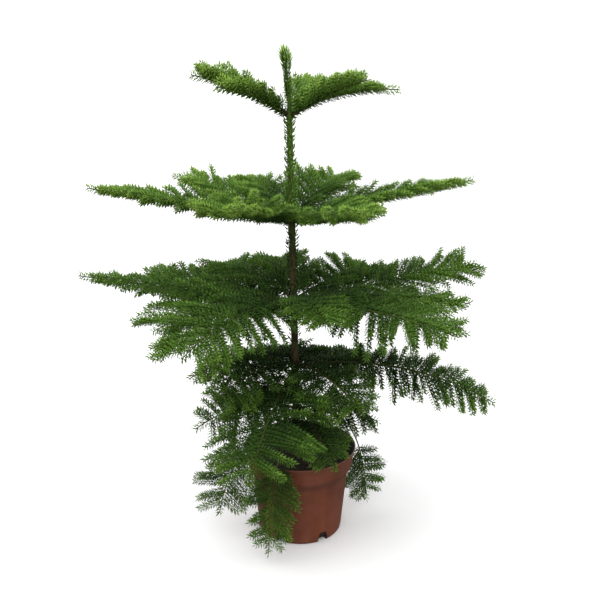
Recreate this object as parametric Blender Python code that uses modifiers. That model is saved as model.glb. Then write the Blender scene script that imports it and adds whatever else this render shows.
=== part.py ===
"""A young Norfolk Island pine in a round nursery pot.

Metres, +Z up. The origin is the middle of the pot's flat underside and -Y is the front.
The plant is six whorls of flat plumes round one leaning trunk. Each plume is one mass of
foliage: a three-sided stem that carries two rows of toothed blades, a blade standing for
a branchlet and its needles. The long plumes sit on a bough, the short ones on the trunk.
"""

import math
import random
from collections import namedtuple

import bpy
import bmesh
from mathutils import Matrix, Vector
from mathutils.bvhtree import BVHTree

CLEARANCE = 0.0003
UP = Vector((0, 0, 1))

# Pot: a plain tapering wall, then a lip of a cone, a nearly upright band and a flared rim
RIM_RADIUS = 0.085
RIM_HEIGHT = 0.137
BAND_TOP = 0.127
BAND_RADIUS = 0.0816
LIP_HEIGHT = 0.110
LIP_RADIUS = 0.0800
LIP_FOOT = 0.098
WALL_TOP_RADIUS = 0.0728
FOOT_RADIUS = 0.0632
FOOT_CHAMFER = 0.004
WALL = 0.0018
FLOOR = 0.003
INNER_FILLET = 0.003
EDGE_ROUND = 0.001
DRAIN_HOLES = 6
DRAIN_RADIUS = 0.0080
DRAIN_DEPTH = 0.030
DRAIN_SLANT = 40
FIRST_DRAIN = 3
POT_STEPS = 32

# Compost: heaped a little round the trunk
COMPOST_LEVEL = 0.124
COMPOST_DIP = 0.003
COMPOST_FLAT = 0.016
COMPOST_FOOT = 0.008
COMPOST_GAP = 0.0007
COMPOST_STEPS = 32

# Trunk
TRUNK_TOP = 0.668
TRUNK_FOOT_X = -0.004
TRUNK_LEAN = 0.0208
TRUNK_FOOT_RADIUS = 0.0056
TRUNK_TOP_RADIUS = 0.0023
TRUNK_TAPER = 2.2
ROOT_FLARE = 0.0036
ROOT_FLARE_HEIGHT = 0.011

# Leading shoot
LEADER_TIP = 0.736
LEADER_LEAN = 0.068
LEADER_RADII = (0.0022, 0.0017, 0.0020)
LEADER_NEEDLES = 26
LEADER_NEEDLE = 0.0125
NEEDLE_RADIUS = 0.0011
GOLDEN_TURN = 2.39996

# Boughs and plume stems
BOUGH_FROM_REACH = 0.18
BOUGH_FROM_BARE = 0.3
BOUGH_ROOT_RADIUS = 0.0021
BOUGH_TIP_RADIUS = 0.0016
STEM_ROOT_RADIUS = 0.0019
STEM_TIP_RADIUS = 0.0012
STEM_STATIONS = 6
STAGGER = 0.005
OVERHANG = 0.6

# Blades: needles stand NEEDLE_STAND off the branchlet at a tooth and NEEDLE_VALLEY between
BLADE_SPACING = 0.0305
NEEDLE_STAND = 0.0082
NEEDLE_VALLEY = 0.0034
VALLEY_STEP = 0.02
BLADE_ROOT = 0.00035
BLADE_RIDGE = 0.0013
LONG_BLADE = 0.0620
SHORTEST_BLADE = 0.016
TIP_BLADE = 0.026
TIP_SUNK = 0.003
LOWEST_LEAF = 0.003
SHRINK_STEPS = (1.0, 0.8, 0.62, 0.45)
TWIGS_FROM = 0.10
JITTER = 4
# The branchlets' length along a plume, as a share of the longest
ROOT_WIDTH = 0.55
WIDEST_AT = 0.30
SHOULDER_AT = 0.70

# azimuth: degrees from +X towards +Y. reach and rise: the tip from the trunk. arch: how far
# the stem bows up. spread: the longest branchlet. end: the last one, as a share of it. roll:
# turn of the outer half of the plume about its stem. lift: how far both rows stand up. bare:
# the share of the stem without twigs.
Plume = namedtuple("Plume", "side azimuth reach rise arch spread end roll lift bare")
# angle: of the branchlets to the stem at the trunk. lost: how much less at the stem's tip.
# sweep: how far their ends bend forward.
Whorl = namedtuple("Whorl", "name height angle lost sweep plumes")

WHORLS = (
    Whorl("top", 0.635, 66, 26, 0.18, (
        Plume("left", 186, 0.138, 0.060, 0.010, 0.046, 0.66, 0, 38, 0.10),
        Plume("left_front", 212, 0.118, 0.050, 0.008, 0.038, 0.60, 0, 40, 0.12),
        Plume("front_right", 322, 0.134, 0.062, 0.006, 0.042, 0.60, 0, 42, 0.10),
        Plume("right", 4, 0.157, 0.036, 0.012, 0.036, 0.34, 0, 34, 0.10),
        Plume("back", 72, 0.128, 0.036, 0.010, 0.038, 0.55, 0, 42, 0.10),
    )),
    Whorl("upper", 0.488, 70, 24, 0.14, (
        Plume("left", 181, 0.292, 0.051, 0.000, 0.058, 0.28, 0, 22, 0.14),
        Plume("front_left", 241, 0.208, 0.056, 0.000, 0.078, 0.62, 0, 30, 0.16),
        Plume("front_right", 306, 0.184, 0.042, 0.000, 0.074, 0.50, 0, 30, 0.16),
        Plume("right", 3, 0.263, 0.059, 0.000, 0.060, 0.28, 0, 22, 0.14),
        Plume("back_right", 66, 0.179, 0.030, 0.010, 0.074, 0.60, 0, 24, 0.16),
        Plume("back", 119, 0.168, 0.032, 0.008, 0.058, 0.50, 0, 22, 0.16),
        Plume("back_left", 148, 0.196, 0.048, 0.000, 0.062, 0.60, 0, 18, 0.16),
    )),
    Whorl("middle", 0.366, 76, 20, 0.10, (
        Plume("left", 180, 0.315, 0.042, 0.000, 0.060, 0.30, 0, 8, 0.14),
        Plume("left_front", 206, 0.220, -0.012, 0.020, 0.086, 0.74, 8, 0, 0.16),
        Plume("front_left", 231, 0.236, -0.018, 0.022, 0.098, 0.64, 4, 0, 0.16),
        Plume("front", 286, 0.178, 0.022, 0.010, 0.062, 0.50, 0, 6, 0.18),
        Plume("front_right", 320, 0.284, 0.014, 0.012, 0.084, 0.52, -10, 0, 0.14),
        Plume("right_front", 341, 0.262, 0.028, 0.006, 0.056, 0.55, -6, 0, 0.16),
        Plume("right", 12, 0.286, 0.044, 0.002, 0.076, 0.64, -5, 8, 0.14),
        Plume("back_right", 50, 0.215, 0.002, 0.012, 0.078, 0.60, 0, 14, 0.16),
        Plume("back", 100, 0.175, 0.014, 0.016, 0.064, 0.60, 0, 16, 0.18),
        Plume("back_left", 130, 0.215, 0.000, 0.020, 0.070, 0.55, 0, 12, 0.16),
        Plume("left_back", 158, 0.255, 0.020, 0.010, 0.062, 0.45, 0, 10, 0.16),
    )),
    Whorl("lower", 0.268, 88, 16, 0.04, (
        Plume("right", 352, 0.300, -0.046, 0.028, 0.074, 0.52, -12, -6, 0.14),
        Plume("front_right", 306, 0.165, -0.022, 0.014, 0.072, 0.55, -6, -5, 0.18),
        Plume("front_left", 252, 0.206, -0.098, 0.013, 0.104, 0.56, -14, 0, 0.16),
        Plume("left_front", 214, 0.150, -0.034, 0.018, 0.070, 0.60, 10, 0, 0.18),
        Plume("left", 172, 0.168, -0.036, 0.020, 0.064, 0.45, 10, 0, 0.16),
        Plume("back", 98, 0.175, -0.050, 0.010, 0.066, 0.50, 0, 0, 0.16),
        Plume("back_right", 52, 0.178, -0.042, 0.012, 0.066, 0.50, 0, 0, 0.16),
    )),
    Whorl("bottom", 0.198, 86, 14, 0.04, (
        Plume("left", 196, 0.160, -0.018, 0.022, 0.080, 0.58, 12, -4, 0.18),
        Plume("front", 297, 0.126, -0.052, 0.012, 0.056, 0.60, -8, -5, 0.18),
        Plume("right", 8, 0.132, -0.036, 0.014, 0.066, 0.55, -6, -4, 0.18),
        Plume("back_left", 124, 0.155, -0.070, 0.024, 0.062, 0.50, 0, -4, 0.20),
    )),
    Whorl("lowest", 0.184, 76, 14, 0.04, (
        Plume("left", 201, 0.126, -0.146, 0.028, 0.060, 0.66, 60, 0, 0.50),
        Plume("front", 252, 0.130, -0.166, 0.040, 0.048, 0.70, 0, 0, 0.50),
        Plume("right", 22, 0.121, -0.172, 0.060, 0.048, 0.74, -80, 0, 0.70),
    )),
)


def clear_scene():
    for thing in list(bpy.data.objects):
        bpy.data.objects.remove(thing, do_unlink=True)


def new_collection(name):
    collection = bpy.data.collections.new(name)
    bpy.context.scene.collection.children.link(collection)
    return collection


def new_material(name, colour, roughness):
    material = bpy.data.materials.new(name)
    material.use_nodes = True
    shader = material.node_tree.nodes["Principled BSDF"]
    shader.inputs["Base Color"].default_value = (*colour, 1)
    shader.inputs["Roughness"].default_value = roughness
    shader.inputs["Metallic"].default_value = 0
    return material


def place(mesh, name, material, collection):
    mesh.name = name
    mesh.materials.clear()
    mesh.materials.append(material)
    thing = bpy.data.objects.new(name, mesh)
    collection.objects.link(thing)
    return thing


def evaluated_mesh(thing):
    """The object's mesh with its modifiers applied."""
    bpy.context.view_layer.update()
    graph = bpy.context.evaluated_depsgraph_get()
    return bpy.data.meshes.new_from_object(thing.evaluated_get(graph))


def tree_of(mesh):
    """A search tree of the mesh's faces, for finding what touches it."""
    return BVHTree.FromPolygons(
        [vertex.co for vertex in mesh.vertices],
        [tuple(face.vertices) for face in mesh.polygons],
    )


# ---------------------------------------------------------------- pot and compost

def wall_radius(z):
    """The outside of the pot's plain wall at a height."""
    share = z / LIP_FOOT
    return FOOT_RADIUS + share * (WALL_TOP_RADIUS - FOOT_RADIUS)


def turned(name, profile, steps, material, collection):
    """A profile of (radius, height) points turned about Z."""
    mesh = bpy.data.meshes.new(name)
    points = [(radius, 0, z) for radius, z in profile]
    mesh.from_pydata(points, [(i, i + 1) for i in range(len(points) - 1)], [])
    thing = place(mesh, name, material, collection)
    screw = thing.modifiers.new("Turn", "SCREW")
    screw.steps = screw.render_steps = steps
    screw.use_merge_vertices = True
    screw.merge_threshold = 0.00005
    screw.use_smooth_shade = True
    return thing


def drain_cutter(hole, cutters):
    """A slanted rod through the corner between the pot's wall and its floor."""
    bpy.ops.mesh.primitive_cylinder_add(vertices=8, radius=DRAIN_RADIUS, depth=DRAIN_DEPTH)
    cutter = bpy.context.object
    cutter.name = f"drain_cutter_{hole}"
    turn = math.radians(FIRST_DRAIN + 360 * hole / DRAIN_HOLES)
    out = Matrix.Translation((FOOT_RADIUS - FOOT_CHAMFER, 0, 0.5 * FLOOR))
    slant = Matrix.Rotation(math.radians(DRAIN_SLANT), 4, "Y")
    cutter.matrix_world = Matrix.Rotation(turn, 4, "Z") @ out @ slant
    cutter.hide_render = True
    cutter.display_type = "WIRE"
    for home in list(cutter.users_collection):
        home.objects.unlink(cutter)
    cutters.objects.link(cutter)


def make_pot(material, parts, cutters):
    fillet_top = FLOOR + INNER_FILLET
    profile = [
        (0, FLOOR),
        (wall_radius(FLOOR) - WALL - INNER_FILLET, FLOOR),
        (wall_radius(fillet_top) - WALL, fillet_top),
        (WALL_TOP_RADIUS - WALL, LIP_FOOT),
        (LIP_RADIUS - WALL, LIP_HEIGHT),
        (BAND_RADIUS - WALL, BAND_TOP),
        (RIM_RADIUS - WALL, RIM_HEIGHT - EDGE_ROUND),
        (RIM_RADIUS - 0.5 * WALL, RIM_HEIGHT),
        (RIM_RADIUS, RIM_HEIGHT - EDGE_ROUND),
        (BAND_RADIUS, BAND_TOP - EDGE_ROUND),
        (LIP_RADIUS, LIP_HEIGHT - EDGE_ROUND),
        (WALL_TOP_RADIUS, LIP_FOOT - EDGE_ROUND),
        (wall_radius(FOOT_CHAMFER), FOOT_CHAMFER),
        (FOOT_RADIUS - 0.5 * FOOT_CHAMFER, EDGE_ROUND),
        (FOOT_RADIUS - FOOT_CHAMFER, 0),
        (0, 0),
    ]
    pot = turned("pot", profile, POT_STEPS, material, parts)
    for hole in range(DRAIN_HOLES):
        drain_cutter(hole, cutters)
    cut = pot.modifiers.new("Drain holes", "BOOLEAN")
    cut.operation = "DIFFERENCE"
    cut.operand_type = "COLLECTION"
    cut.collection = cutters
    return pot


def make_compost(material, parts):
    inset = WALL + COMPOST_GAP
    edge = COMPOST_LEVEL - COMPOST_DIP
    up_the_band = (edge - LIP_HEIGHT) / (BAND_TOP - LIP_HEIGHT)
    edge_radius = LIP_RADIUS + up_the_band * (BAND_RADIUS - LIP_RADIUS)
    profile = [
        (0, COMPOST_LEVEL),
        (COMPOST_FLAT, COMPOST_LEVEL),
        (0.5 * RIM_RADIUS, COMPOST_LEVEL - 0.3 * COMPOST_DIP),
        (edge_radius - inset, edge),
        (LIP_RADIUS - inset, LIP_HEIGHT),
        (WALL_TOP_RADIUS - inset, LIP_FOOT),
        (wall_radius(COMPOST_FOOT) - inset, COMPOST_FOOT),
        (wall_radius(COMPOST_FOOT) - inset - INNER_FILLET, FLOOR + CLEARANCE),
        (0, FLOOR + CLEARANCE),
    ]
    return turned("compost", profile, COMPOST_STEPS, material, parts)


# ---------------------------------------------------------------- trunk and boughs

def trunk_point(z):
    """The middle of the trunk, which leans to the left, at a height."""
    return Vector((TRUNK_FOOT_X - TRUNK_LEAN * (z - COMPOST_LEVEL), 0, z))


def trunk_radius(z):
    taper = max(0, (z - COMPOST_LEVEL) / (TRUNK_TOP - COMPOST_LEVEL)) ** TRUNK_TAPER
    flare = ROOT_FLARE * math.exp(-(z - COMPOST_LEVEL) / ROOT_FLARE_HEIGHT)
    return TRUNK_FOOT_RADIUS + taper * (TRUNK_TOP_RADIUS - TRUNK_FOOT_RADIUS) + flare


def limb(name, points, radii, roundness, material, collection):
    """A tapering round limb along some points, as a closed mesh."""
    curve = bpy.data.curves.new(name, "CURVE")
    curve.dimensions = "3D"
    curve.bevel_depth = 1
    curve.bevel_resolution = roundness
    curve.use_fill_caps = True
    spline = curve.splines.new("POLY")
    spline.points.add(len(points) - 1)
    for knot, point, radius in zip(spline.points, points, radii):
        knot.co = (*point, 1)
        knot.radius = radius
    guide = bpy.data.objects.new(name + "_guide", curve)
    collection.objects.link(guide)
    mesh = evaluated_mesh(guide)
    bpy.data.objects.remove(guide, do_unlink=True)
    shape = bmesh.new()
    shape.from_mesh(mesh)
    bmesh.ops.remove_doubles(shape, verts=shape.verts, dist=0.00001)
    bmesh.ops.recalc_face_normals(shape, faces=shape.faces)
    shape.to_mesh(mesh)
    shape.free()
    mesh.shade_smooth()
    return place(mesh, name, material, collection)


def make_trunk(material, parts):
    """The trunk from its flat foot, with more rings where the roots flare."""
    foot = COMPOST_LEVEL + CLEARANCE
    flare_rings = 5
    rings = 13
    flare_top = foot + 2.7 * ROOT_FLARE_HEIGHT
    heights = [foot + (flare_top - foot) * (i / flare_rings) ** 1.6 for i in range(flare_rings)]
    plain_rings = rings - flare_rings
    step = (TRUNK_TOP - flare_top) / (plain_rings - 1)
    heights += [flare_top + step * i for i in range(plain_rings)]
    points = [trunk_point(z) for z in heights]
    points[0].x = points[1].x
    return limb("trunk", points, [trunk_radius(z) for z in heights], 2, material, parts)


# ---------------------------------------------------------------- plumes

class PlumePath:
    """The line of a plume, from the trunk's axis at t = 0 to its last needle at t = 1.

    The stem stops at t = end, and the tip blade goes on from there."""

    def __init__(self, plume, height, level):
        angle = math.radians(plume.azimuth)
        self.plume = plume
        self.out = Vector((math.cos(angle), math.sin(angle), 0))
        self.start = trunk_point(height + level)
        self.rise = plume.rise - level
        self.overhang = OVERHANG * max(0, -self.rise / plume.reach)
        self.end = self.along(1, -TIP_BLADE)

    def point(self, t):
        away = self.plume.reach * t * (1 + self.overhang * (1 - t))
        up = self.rise * t + 4 * self.plume.arch * t * (1 - t)
        return self.start + away * self.out + up * UP

    def slope(self, t):
        away = self.plume.reach * (1 + self.overhang * (1 - 2 * t))
        up = self.rise + 4 * self.plume.arch * (1 - 2 * t)
        return away * self.out + up * UP

    def core(self, t, start):
        """A point inside the stem, whose middle runs straight from one station to the next."""
        span = self.end - start
        place = (t - start) / span * (STEM_STATIONS - 1)
        before = min(int(place), STEM_STATIONS - 2)
        ends = [start + span * k / (STEM_STATIONS - 1) for k in (before, before + 1)]
        return self.point(ends[0]).lerp(self.point(ends[1]), place - before)

    def along(self, t, distance):
        """The t a short distance further on."""
        return t + distance / self.slope(t).length

    def frame(self, t):
        """The stem's direction, the plume's right-hand side and its upper face."""
        forward = self.slope(t).normalized()
        side = forward.cross(UP).normalized()
        face = side.cross(forward)
        roll = math.radians(self.plume.roll) * min(1, 2 * t)
        return (
            forward,
            math.cos(roll) * side + math.sin(roll) * face,
            math.cos(roll) * face - math.sin(roll) * side,
        )


def trunk_exit(path, height, radius):
    """The t at which a limb of this radius starts, clear of the trunk."""
    tilt = abs(path.slope(0).normalized().z)
    level = (1 - tilt * tilt) ** 0.5
    return path.along(0, (trunk_radius(height) + CLEARANCE) / level + radius * tilt)


def width_share(s, end):
    """How long the branchlets are along a plume, as a share of the longest."""
    if s < WIDEST_AT:
        return ROOT_WIDTH + (1 - ROOT_WIDTH) * s / WIDEST_AT
    shoulder = min(0.6 + 0.5 * end, 1)
    if s < SHOULDER_AT:
        return 1 + (shoulder - 1) * (s - WIDEST_AT) / (SHOULDER_AT - WIDEST_AT)
    return shoulder + (end - shoulder) * (s - SHOULDER_AT) / (1 - SHOULDER_AT)


def loft(shape, rings):
    """Walls between rings of equal size, closed at both ends."""
    made = [[shape.verts.new(point) for point in ring] for ring in rings]
    count = len(rings[0])
    for lower, upper in zip(made, made[1:]):
        for i in range(count):
            j = (i + 1) % count
            shape.faces.new((lower[i], lower[j], upper[j], upper[i]))
    shape.faces.new(made[0])
    shape.faces.new(made[-1])


def finished(shape, name):
    """The bmesh as triangles that face outwards."""
    bmesh.ops.triangulate(shape, faces=shape.faces)
    bmesh.ops.recalc_face_normals(shape, faces=shape.faces)
    mesh = bpy.data.meshes.new(name)
    shape.to_mesh(mesh)
    shape.free()
    return mesh


def stem_mesh(path, start, name):
    """A three-sided stem along a plume's path."""
    rings = []
    for station in range(STEM_STATIONS):
        share = station / (STEM_STATIONS - 1)
        t = start + (path.end - start) * share
        radius = STEM_ROOT_RADIUS + share * (STEM_TIP_RADIUS - STEM_ROOT_RADIUS)
        forward, side, face = path.frame(t)
        corners = [math.tau * (corner + 0.75) / 3 for corner in range(3)]
        rings.append([
            path.point(t) + radius * (math.cos(a) * side + math.sin(a) * face) for a in corners
        ])
    shape = bmesh.new()
    loft(shape, rings)
    return finished(shape, name)


def blade_mesh(root, forward, ahead, sweep, length, name):
    """A branchlet with its needles: a thin blade with forward teeth and a ridge along it.

    forward is the branchlet's direction and ahead the way its outer end bends by sweep. The
    blade starts at root, inside the stem, and its two edges hold the tips of the needles."""
    teeth = 3 if length > LONG_BLADE else 2
    across = (ahead - ahead.dot(forward) * forward).normalized()
    face = forward.cross(across)
    if face.z < 0:
        face = -face

    def spot(share, side, height):
        bend = share * share * length * sweep
        return root + share * length * forward + bend * ahead + side * across + height * face

    shape = bmesh.new()
    rows = [(0.0, BLADE_ROOT)]
    for tooth in range(teeth):
        share = (tooth + 0.62) / (teeth + 0.05)
        rows.append((share, NEEDLE_STAND * (1 - 0.25 * share)))
        if tooth < teeth - 1:
            rows.append((share + VALLEY_STEP, NEEDLE_VALLEY * (1 - 0.25 * share)))
    tip = shape.verts.new(spot(1, 0, 0))
    left = [shape.verts.new(spot(share, -width, 0)) for share, width in rows]
    right = [shape.verts.new(spot(share, width, 0)) for share, width in rows]
    # One ridge point over the root and over each pair of valleys.
    ridge = {}
    for row in range(0, len(rows), 2):
        ridge[row] = shape.verts.new(spot(rows[row][0], 0, BLADE_RIDGE if row else BLADE_ROOT))
    shape.faces.new((left[0], right[0], ridge[0]))
    for row in range(len(rows) - 1):
        crest = ridge[row - row % 2]
        shape.faces.new((left[row], right[row], right[row + 1], left[row + 1]))
        shape.faces.new((left[row], left[row + 1], crest))
        shape.faces.new((right[row], right[row + 1], crest))
        if row % 2:
            shape.faces.new((left[row + 1], ridge[row + 1], crest))
            shape.faces.new((right[row + 1], ridge[row + 1], crest))
    last = ridge[(len(rows) - 1) // 2 * 2]
    shape.faces.new((left[-1], right[-1], tip))
    shape.faces.new((left[-1], tip, last))
    shape.faces.new((right[-1], tip, last))
    return finished(shape, name)


def is_free(mesh, solids):
    """Whether a blade stays above the ground and off every solid made so far."""
    if min(vertex.co.z for vertex in mesh.vertices) < LOWEST_LEAF:
        return False
    tree = tree_of(mesh)
    return not any(tree.overlap(solid) for solid in solids)


def fused(name, stem, blades, material, parts):
    """One solid of a stem and its blades, the loose blades then removed."""
    loose = new_collection(name + "_blades")
    for number, blade in enumerate(blades):
        loose.objects.link(bpy.data.objects.new(f"{name}_blade_{number}", blade))
    body = place(stem, name, material, parts)
    union = body.modifiers.new("Blades", "BOOLEAN")
    union.operation = "UNION"
    union.operand_type = "COLLECTION"
    union.collection = loose
    union.solver = "MANIFOLD"
    mesh = evaluated_mesh(body)
    body.modifiers.clear()
    body.data = mesh
    mesh.name = name
    for thing in list(loose.objects):
        bpy.data.objects.remove(thing, do_unlink=True)
    bpy.data.collections.remove(loose)
    return body


def make_foliage(name, growth, whorl, dice, material, parts, solids):
    """A plume: its stem, two rows of blades and one at the tip."""
    path, start, stem = growth
    plume = path.plume
    others = [tree for owner, tree in solids.items() if owner != name]
    length = (path.point(path.end) - path.point(start)).length
    count = max(4, round(length / BLADE_SPACING))
    twigs_from = max(start, TWIGS_FROM)
    blades = []
    for number in range(2 * count):
        row = 1 if number % 2 else -1
        s = (number // 2 + 0.5 + 0.25 * row) / count
        t = twigs_from + (path.end - twigs_from) * s
        forward, side, face = path.frame(t)
        angle = math.radians(whorl.angle - whorl.lost * s + dice.uniform(-JITTER, JITTER))
        lift = math.radians(plume.lift + dice.uniform(-JITTER, JITTER))
        out = row * math.cos(lift) * side + math.sin(lift) * face
        direction = math.cos(angle) * forward + math.sin(angle) * out
        reach = plume.spread * width_share(s, plume.end) * dice.uniform(0.9, 1.06)
        for share in SHRINK_STEPS:
            if reach * share < SHORTEST_BLADE:
                break
            blade = blade_mesh(path.core(t, start), direction, forward, whorl.sweep, reach * share, name)
            if is_free(blade, others):
                blades.append(blade)
                break
    forward, side, face = path.frame(path.end)
    root = path.point(path.end) - TIP_SUNK * forward
    tip_blade = blade_mesh(root, forward, side, 0, TIP_BLADE + TIP_SUNK, name)
    if is_free(tip_blade, others):
        blades.append(tip_blade)
    return fused(name, stem, blades, material, parts)


def make_bough(name, path, start, end, material, parts):
    spans = 3
    steps = [start + (end - start) * i / spans for i in range(spans + 1)]
    radii = [
        BOUGH_ROOT_RADIUS + (BOUGH_TIP_RADIUS - BOUGH_ROOT_RADIUS) * i / spans
        for i in range(spans + 1)
    ]
    return limb(name, [path.point(t) for t in steps], radii, 1, material, parts)


def stagger(number, count):
    """Neighbours leave the trunk at unlike heights, so that their roots have room."""
    if count % 2 and number == count - 1:
        return -STAGGER
    return STAGGER * (number % 2)


def make_limbs(whorl, bark, parts, solids):
    """The whorl's boughs and the bare stems of its plumes, by the plume's name."""
    growths = {}
    for number, plume in enumerate(whorl.plumes):
        path = PlumePath(plume, whorl.height, stagger(number, len(whorl.plumes)))
        start = trunk_exit(path, whorl.height, BOUGH_ROOT_RADIUS)
        if plume.reach >= BOUGH_FROM_REACH or plume.bare >= BOUGH_FROM_BARE:
            name = f"{whorl.name}_bough_{plume.side}"
            bough = make_bough(name, path, start, plume.bare, bark, parts)
            solids[name] = tree_of(bough.data)
            start = path.along(plume.bare, CLEARANCE)
        name = f"{whorl.name}_foliage_{plume.side}"
        stem = stem_mesh(path, start, name)
        solids[name] = tree_of(stem)
        growths[name] = (path, start, stem)
    return growths


# ---------------------------------------------------------------- leading shoot

def leader_point(z):
    """The middle of the leading shoot, which leans more than the trunk."""
    return trunk_point(z) - Vector((LEADER_LEAN * (z - TRUNK_TOP), 0, 0))


def leader_needle(number, foot, crown, dice):
    """One needle: it lies close to the core low down and opens near the top."""
    share = (number + 0.5) / LEADER_NEEDLES
    z = foot + NEEDLE_STAND / 2 + (crown - foot - NEEDLE_STAND / 2) * share
    opening = math.radians(16 + 50 * max(0, share - 0.45) + dice.uniform(-3, 3))
    if number == LEADER_NEEDLES - 1:
        opening = 0
    turn = number * GOLDEN_TURN
    out = Vector((math.cos(turn), math.sin(turn), 0))
    direction = math.cos(opening) * UP + math.sin(opening) * out
    length = LEADER_NEEDLE * (0.85 + 0.25 * share)
    shape = bmesh.new()
    bmesh.ops.create_cone(
        shape, cap_ends=True, segments=3, radius1=NEEDLE_RADIUS, radius2=0, depth=length
    )
    lay = direction.to_track_quat("Z", "Y").to_matrix().to_4x4()
    middle = leader_point(z) + 0.5 * length * direction + 0.5 * NEEDLE_RADIUS * out
    bmesh.ops.transform(shape, matrix=Matrix.Translation(middle) @ lay, verts=shape.verts)
    return finished(shape, "leader_needle")


def make_leader(material, parts, dice):
    """The bud at the top: a slim core with needles standing out of it."""
    foot = TRUNK_TOP + CLEARANCE
    crown = LEADER_TIP - LEADER_NEEDLE
    heights = (foot, foot + 0.4 * (crown - foot), crown)
    core = limb("leader", [leader_point(z) for z in heights], LEADER_RADII, 1, material, parts)
    stem = core.data
    bpy.data.objects.remove(core, do_unlink=True)
    needles = [leader_needle(number, foot, crown, dice) for number in range(LEADER_NEEDLES)]
    return fused("leader", stem, needles, material, parts)


def main():
    clear_scene()
    dice = random.Random(7)
    parts = new_collection("Norfolk Island pine")
    cutters = new_collection("Cutters")
    materials = {
        "pot": new_material("terracotta plastic", (0.165, 0.052, 0.028), 0.55),
        "compost": new_material("compost", (0.018, 0.012, 0.008), 0.95),
        "bark": new_material("young bark", (0.060, 0.042, 0.018), 0.85),
        "leader": new_material("bud green", (0.130, 0.230, 0.050), 0.55),
        "top": new_material("top whorl green", (0.085, 0.175, 0.040), 0.55),
        "upper": new_material("upper whorl green", (0.065, 0.150, 0.030), 0.55),
        "middle": new_material("middle whorl green", (0.045, 0.100, 0.025), 0.55),
        "lower": new_material("lower whorl green", (0.030, 0.062, 0.020), 0.55),
        "bottom": new_material("bottom whorl green", (0.040, 0.085, 0.026), 0.55),
        "lowest": new_material("lowest whorl green", (0.060, 0.120, 0.036), 0.55),
    }
    pot = make_pot(materials["pot"], parts, cutters)
    compost = make_compost(materials["compost"], parts)
    trunk = make_trunk(materials["bark"], parts)
    leader = make_leader(materials["leader"], parts, dice)
    solids = {thing.name: tree_of(evaluated_mesh(thing)) for thing in (pot, compost, trunk, leader)}
    growths = {}
    for whorl in WHORLS:
        growths[whorl.name] = make_limbs(whorl, materials["bark"], parts, solids)
    # Every limb stands before the first branchlet, so that none grows through a limb.
    for whorl in WHORLS:
        for name, growth in growths[whorl.name].items():
            green = materials[whorl.name]
            foliage = make_foliage(name, growth, whorl, dice, green, parts, solids)
            solids[name] = tree_of(foliage.data)


main()
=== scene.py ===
"""The looks of a young Norfolk Island pine in a round nursery pot.

Metres, +Z up, the pot's flat underside on z = 0 and -Y the front. The plant is six whorls
of flat plumes. Each plume grows by the rule of its solid, carried on to finer twigs: a stem
from the trunk, two rows of branchlets along it, and needles round every branchlet.
"""

import math
from collections import namedtuple

import bpy
import numpy as np
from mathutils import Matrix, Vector


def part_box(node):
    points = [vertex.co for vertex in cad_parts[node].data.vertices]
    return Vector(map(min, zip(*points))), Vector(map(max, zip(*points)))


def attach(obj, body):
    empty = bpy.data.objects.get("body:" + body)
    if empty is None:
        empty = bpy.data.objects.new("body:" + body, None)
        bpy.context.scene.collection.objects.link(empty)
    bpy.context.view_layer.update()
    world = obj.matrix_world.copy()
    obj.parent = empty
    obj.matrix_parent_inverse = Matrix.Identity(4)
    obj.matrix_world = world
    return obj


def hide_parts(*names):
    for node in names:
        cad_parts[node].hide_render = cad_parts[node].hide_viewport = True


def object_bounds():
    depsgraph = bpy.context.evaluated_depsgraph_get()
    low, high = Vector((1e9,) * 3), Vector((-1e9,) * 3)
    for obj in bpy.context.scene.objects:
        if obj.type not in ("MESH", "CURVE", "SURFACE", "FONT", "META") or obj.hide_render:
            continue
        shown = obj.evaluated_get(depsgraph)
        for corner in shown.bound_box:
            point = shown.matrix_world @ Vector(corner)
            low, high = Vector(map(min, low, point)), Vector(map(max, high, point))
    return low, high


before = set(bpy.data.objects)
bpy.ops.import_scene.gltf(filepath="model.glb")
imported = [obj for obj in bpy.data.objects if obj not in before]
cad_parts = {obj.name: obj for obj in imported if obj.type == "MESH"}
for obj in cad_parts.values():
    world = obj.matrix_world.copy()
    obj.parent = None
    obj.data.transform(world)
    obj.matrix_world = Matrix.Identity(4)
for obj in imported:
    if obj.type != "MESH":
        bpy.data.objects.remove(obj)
CAD_BOX = [list(corner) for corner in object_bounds()]

bl_info = {
    "name": "Norfolk Island pine in a pot",
    "version": (1, 0, 0),
    "blender": (4, 5, 0),
    "location": "View3D > Sidebar > Pine",
    "description": "Grows a young Norfolk Island pine in a nursery pot",
    "category": "Object",
}

UP = np.array((0.0, 0.0, 1.0))
GOLDEN_TURN = 2.39996

# azimuth: degrees from +X towards +Y. reach and rise: the tip from the trunk. arch: how far
# the stem bows up. spread: the longest branchlet. end: the last branchlets' share of it.
# roll: turn of the outer half of the plume about its stem. lift: how far both rows stand up.
# bare: the share of the stem without twigs.
Plume = namedtuple("Plume", "side azimuth reach rise arch spread end roll lift bare")
# angle: of the branchlets to the stem at the trunk. lost: how much less at the stem's tip.
# sweep: how far their ends bend forward. parted: whether their needles part into two rows.
# spacing: between branchlets of one row. needle: its length. sag: how far the branchlets'
# ends hang. tone: the green at the trunk, dark partly for older needles and partly as painted
# shade of the plume's inner part. gain: how much lighter the plume's end is, partly fresher
# growth and partly painted light on its outer part. tip: how much lighter each branchlet's end is.
Whorl = namedtuple(
    "Whorl", "name height angle lost sweep parted spacing needle sag tone gain tip plumes"
)

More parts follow.
